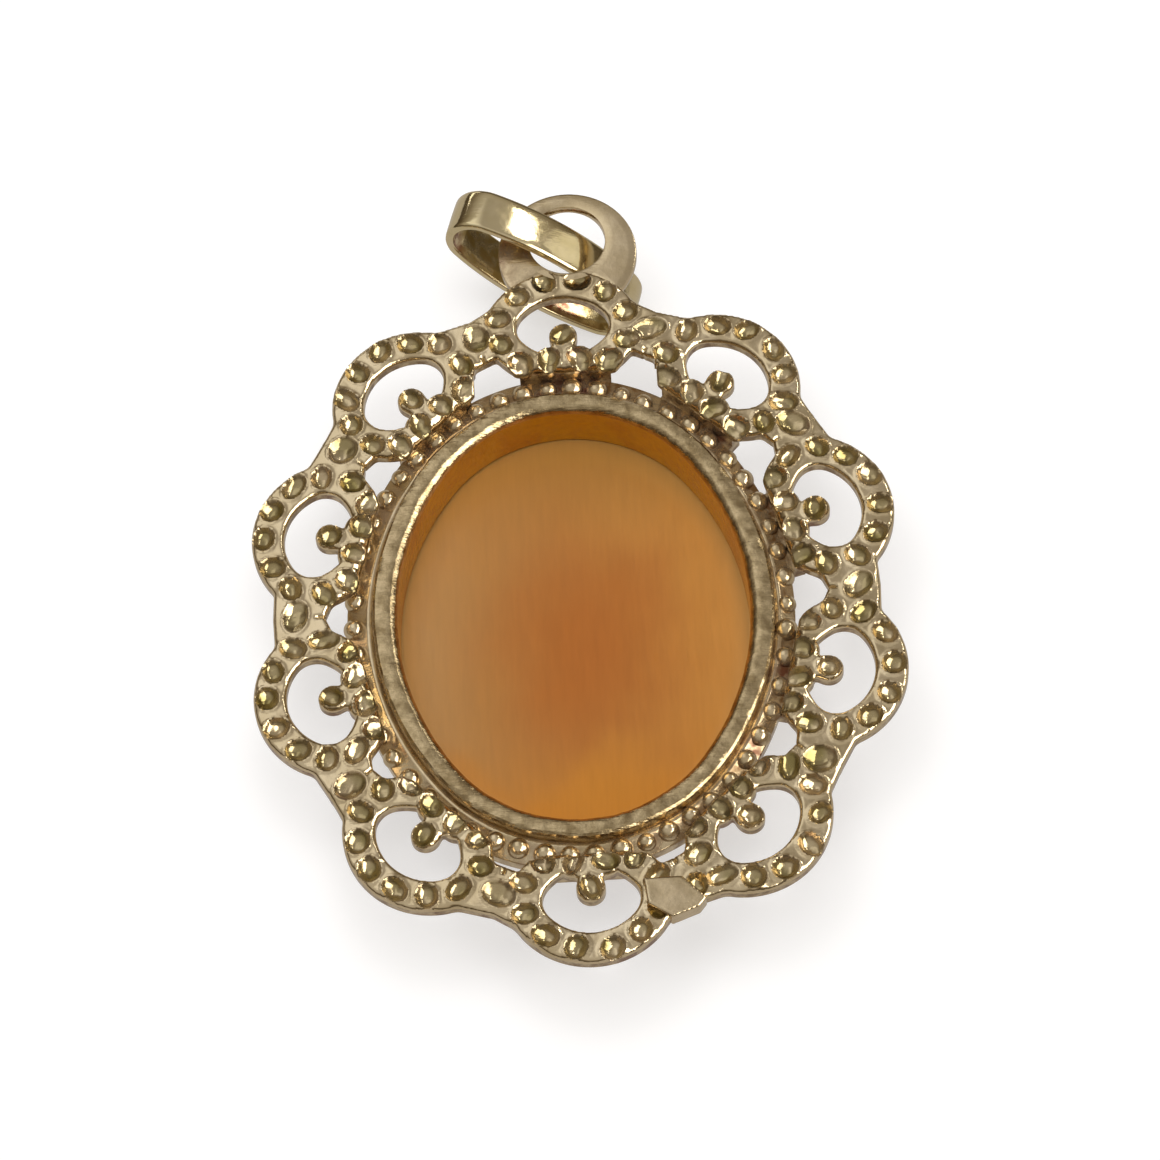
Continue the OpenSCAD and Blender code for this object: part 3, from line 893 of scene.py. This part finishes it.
# A petal's height at its foot and how much it rises, where it levels off, its notch and its fall beside it
PETAL_FOOT, PETAL_RISE, PETAL_LEVEL, PETAL_NOTCH, PETAL_FALL = 0.45, 0.55, 0.86, 0.14, 0.3
PETAL_VEINS, PETAL_VEIN_DEPTH = 24, 0.012
# Each leaf: its foot, direction, length and half width
LEAVES = (
    (1.7, 2.9, 38, 3.6, 1.15), (-1.6, 3, -40, 3.5, 1.15), (2.6, -0.4, 112, 2.7, 1.1),
    (-2.5, -0.3, -108, 2.7, 1.1), (1, -1.9, 158, 4, 1.2), (-0.8, -1.9, -160, 4, 1.2),
)
# A leaf's height and fall to the edge, its midrib's depth and width, and its veins' depth, number and slant
LEAF_H, LEAF_FALL, RIB_DEPTH, RIB_WIDTH = 0.28, 0.6, 0.3, 0.25
VEIN_DEPTH, VEINS, VEIN_SLANT = 0.02, 4.5, 1.3
# The ground's height above the edge, and how much higher it is in the middle
GROUND_H, GROUND_DOME = 0.14, 0.2
# Depth of the hollow in the back, how flat it is, and the bevels of the plate's edge
HOLLOW_DEPTH, HOLLOW_FLATNESS, EDGE_IN, EDGE_BEVEL, BACK_BEVEL = 0.2, 300, 0.03, 0.05, 0.1


def rose_h(x, y):
    """Height of the rose: each whorl of petals rises to its edge, with fine veins."""
    dx, dy = x - ROSE[0], y - ROSE[1]
    r, ang = np.hypot(dx, dy), np.degrees(np.arctan2(dx, dy))
    out, inner = np.zeros_like(r), np.zeros_like(r)
    done = np.zeros(r.shape, bool)
    for radius, petals, turn in PETALS:
        w = np.abs(np.cos(np.radians(petals * (ang - turn) / 2)))
        edge = radius * (1 - PETAL_NOTCH * (1 - w))
        here = (r < edge) & ~done
        u = (r - inner) / np.maximum(edge - inner, 1e-6)
        rise = PETAL_RISE * np.minimum(1, np.maximum(u, 0) / PETAL_LEVEL) ** 1.5
        h = RELIEF * (PETAL_FOOT + rise) * (1 - PETAL_FALL * (1 - w) ** 2)
        vein = 0.5 + 0.5 * np.cos(np.radians(ang * PETAL_VEINS))
        h -= PETAL_VEIN_DEPTH * vein * np.clip(1 - u, 0, 1)
        out = np.where(here, h, out)
        done |= here
        inner = edge
    return out


def leaf_h(x, y, leaf):
    """Height of a pointed leaf with a hollow midrib and side veins."""
    foot_x, foot_y, turn, length, half = leaf
    a = math.radians(turn)
    dx, dy = x - foot_x, y - foot_y
    u = (dx * math.sin(a) + dy * math.cos(a)) / length
    width = half * np.sin(np.pi * np.clip(u, 1e-4, 1 - 1e-4) ** 0.8)
    q = np.abs(dx * math.cos(a) - dy * math.sin(a)) / width
    h = LEAF_H * (1 - LEAF_FALL * q * q) * (1 - RIB_DEPTH * np.exp(-(q / RIB_WIDTH) ** 2))
    h -= VEIN_DEPTH * np.cos(2 * np.pi * (VEINS * u - VEIN_SLANT * q)) ** 2
    return np.where((u > 0) & (u < 1) & (q < 1), h, 0)


def carve_h(x, y):
    """Height of the carved face above its edge."""
    ground = GROUND_H + GROUND_DOME * (1 - (x / CARVED_A) ** 2 - (y / CARVED_B) ** 2)
    return np.maximum(ground + np.max([leaf_h(x, y, leaf) for leaf in LEAVES], axis=0), rose_h(x, y))


SPOKES, RINGS = ((300, 92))
SPOKE_TURNS = np.arange(SPOKES) / SPOKES * 2 * np.pi
EDGE_X, EDGE_Y = CARVED_A * np.sin(SPOKE_TURNS), CARVED_B * np.cos(SPOKE_TURNS)


def spoke_row(a, b, e, z, scale=1.0):
    """Points where the spokes through the carved face's edge meet an oval, drawn in by scale."""
    k = np.hypot(EDGE_X, EDGE_Y)
    s, c = EDGE_X / k, EDGE_Y / k
    low, high = np.zeros_like(s), np.full_like(s, 12.0)
    for _ in range(40):
        mid = (low + high) / 2
        out = oval(mid * c, mid * s, b, a, e) > 0
        high, low = np.where(out, mid, high), np.where(out, low, mid)
    return row_at(low * scale * s, low * scale * c, z)


def hollow_z(x, y):
    """The plate's back, hollowed a little."""
    return CAMEO_BACK - HOLLOW_DEPTH + (x ** 2 + y ** 2) / HOLLOW_FLATNESS + 0.006 * wave(x, y / 3, 41, 2.5)


def cameo_rows():
    for f in np.linspace(1 / RINGS, 1, RINGS):
        x, y = f * EDGE_X, f * EDGE_Y
        yield row_at(x, y, EDGE_Z - carve_h(x, y))
    yield row_at(EDGE_X, EDGE_Y, EDGE_Z)
    yield spoke_row(*(size - EDGE_IN for size in SETTING), EDGE_Z)
    yield spoke_row(*SETTING, EDGE_Z + EDGE_BEVEL)
    yield spoke_row(*SETTING, CAMEO_BACK - BACK_BEVEL)
    for f in np.linspace(0.99, 0.02, 46):
        x, y, _ = spoke_row(*SETTING, 0, f).T
        yield row_at(x, y, hollow_z(x, y))


rows = list(cameo_rows())
pts, faces = loft(rows, closed_profile=False, flip=True)
zero, last = np.zeros(1), (len(rows) - 1) * SPOKES
front_middle, back_middle = EDGE_Z - carve_h(zero, zero)[0], hollow_z(zero, zero)[0]
for i in range(SPOKES):
    k = (i + 1) % SPOKES
    faces += [(len(pts), i, k), (len(pts) + 1, last + k, last + i)]
pts = np.concatenate([pts, [[0, 0, front_middle], [0, 0, back_middle]]])
cameo = mesh("shell_cameo", pts, faces, SHELL, 60)
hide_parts("cameo")


# Stage
def emission(name, colour, strength):
    m, nodes, links, _ = new_material(name)
    e = nodes.new("ShaderNodeEmission")
    e.inputs["Color"].default_value = (*colour, 1)
    e.inputs["Strength"].default_value = strength
    links.new(e.outputs[0], nodes["Material Output"].inputs["Surface"])
    return m


def rectangle(name, half_w, half_h, material, z=0):
    """A flat sheet, with half its width and height in metres."""
    me = bpy.data.meshes.new(name)
    corners = [(-half_w, -half_h, z), (half_w, -half_h, z), (half_w, half_h, z), (-half_w, half_h, z)]
    me.from_pydata(corners, [], [(0, 1, 2, 3)])
    me.materials.append(material)
    ob = bpy.data.objects.new(name, me)
    bpy.context.scene.collection.objects.link(ob)
    return ob


def face_middle(ob, place):
    """Put an object at a place in metres, facing the pendant."""
    ob.location = place
    ob.rotation_mode = "QUATERNION"
    ob.rotation_quaternion = Vector(place).to_track_quat("Z", "Y")


def card(name, azimuth, elevation, dist, w, h, material):
    """A card that only reflections show: azimuth clockwise from +Y, elevation, distance and sizes."""
    a, e = math.radians(azimuth), math.radians(elevation)
    ob = rectangle(name, w * MM / 2, h * MM / 2, material)
    face_middle(ob, Vector((math.sin(a) * math.cos(e), math.cos(a) * math.cos(e), math.sin(e))) * dist * MM)
    ob.visible_camera = False
    ob.visible_shadow = False
    ob.visible_diffuse = False
    ob.visible_transmission = False


FLOOR_HALF, FLOOR_Z, GLOW_DROP = 0.6, -0.00002, 0.0001
floor_material, _, _, surface = new_material("floor")
surface.inputs["Base Color"].default_value = (0.5, 0.497, 0.5, 1)
surface.inputs["Roughness"].default_value = 0.9
surface.inputs["Specular IOR Level"].default_value = 0
surface.inputs["Emission Color"].default_value = (1, 0.995, 1, 1)
surface.inputs["Emission Strength"].default_value = 0.57
floor = rectangle("floor", FLOOR_HALF, FLOOR_HALF, floor_material, FLOOR_Z)
floor.visible_glossy = False
# What the metal reflects of the floor is a darker sheet just under it
glow = emission("floor_glow", (0.5, 0.47, 0.43), 1)
under = rectangle("floor_glow", FLOOR_HALF, FLOOR_HALF, glow, FLOOR_Z)
under.location.z = -GLOW_DROP
under.visible_camera = False
under.visible_diffuse = False

# Each card: azimuth, elevation, width, height, colour and strength
CARD_DIST = 160
CARDS = (
    ("window", 45, 39, 27, 27, (1, 0.98, 0.9), 8),
    ("right_card", 112, 34, 170, 130, (1, 0.97, 0.88), 4.6),
    ("bail_card", 59.5, 26, 32, 38, (1, 0.96, 0.84), 0.9),
    ("back_card", -20, 14, 60, 14, (1, 0.97, 0.9), 2),
)
for name, azimuth, elevation, w, h, colour, strength in CARDS:
    card(name, azimuth, elevation, CARD_DIST, w, h, emission(name, colour, strength))

# A near panel overhead, brighter at the pendant's left, which the flat metal reflects
panel = emission("panel", (1, 1, 1), 1)
nodes, links = panel.node_tree.nodes, panel.node_tree.links
place = nodes.new("ShaderNodeSeparateXYZ")
links.new(nodes.new("ShaderNodeTexCoord").outputs["Object"], place.inputs[0])
across = fade(nodes, links, place.outputs["X"], -0.016, 0.016)
tone = ramp(nodes, links, across, [(0, (0.38, 0.355, 0.32)), (1, (0.92, 0.91, 0.88))])
links.new(tone, nodes["Emission"].inputs["Color"])
card("panel", -2, 63, 75, 90, 62, panel)

light = bpy.data.lights.new("key", "AREA")
light.shape = "DISK"
light.size = 0.22
light.energy = 0.5
key = bpy.data.objects.new("key", light)
face_middle(key, (-0.02, 0.015, 0.27))
key.visible_glossy = False
bpy.context.scene.collection.objects.link(key)

# The world is dark brown near the floor and tan overhead, which the metal reflects
world = bpy.data.worlds.new("world")
bpy.context.scene.world = world
world.use_nodes = True
nodes, links = world.node_tree.nodes, world.node_tree.links
place = nodes.new("ShaderNodeSeparateXYZ")
links.new(nodes.new("ShaderNodeTexCoord").outputs["Generated"], place.inputs[0])
sky = ramp(nodes, links, place.outputs["Z"], [
    (0.0, (0.05, 0.035, 0.018)), (0.25, (0.11, 0.085, 0.055)), (0.45, (0.24, 0.205, 0.16)),
    (0.62, (0.42, 0.39, 0.34)), (0.78, (0.52, 0.5, 0.46)), (1.0, (0.56, 0.54, 0.5)),
])
links.new(sky, nodes["Background"].inputs["Color"])
nodes["Background"].inputs["Strength"].default_value = 1

# Camera: its tilt and azimuth, its distance in pixels, the picture's turn, and millimetres in a pixel
TILT, AZ, DIST, TURN, K = math.radians(27.3), math.radians(2.3), 4758, math.radians(-2.6), 0.032
PICTURE, SENSOR = 1160, 36
AIM = Vector((-7.3, -25.1, 0))
spin = Matrix.Rotation(TURN, 3, "Z")


def from_photo(p):
    """A point in pixels about the picture's middle to the model's metres."""
    q = spin @ ((Vector(p) - AIM) * K)
    return Vector((q.x + SX, q.y + SY, q.z + BACK)) * MM


cam_data = bpy.data.cameras.new("camera")
cam_data.sensor_width = SENSOR
cam_data.lens = SENSOR * DIST / PICTURE
cam_data.clip_start, cam_data.clip_end = 0.01, 5
cam = bpy.data.objects.new("camera", cam_data)
bpy.context.scene.collection.objects.link(cam)
away = Vector((math.sin(AZ) * math.cos(TILT), -math.sin(TILT), math.cos(AZ) * math.cos(TILT)))
right = Vector((math.cos(AZ), 0, -math.sin(AZ)))
up = away.cross(right)
cam.location = from_photo(away * DIST)
axes = [spin @ right, spin @ up, spin @ away]
cam.rotation_mode = "QUATERNION"
cam.rotation_quaternion = Matrix([[v[i] for v in axes] for i in range(3)]).to_quaternion()
bpy.context.scene.camera = cam
bpy.context.scene.view_settings.view_transform = "Standard"
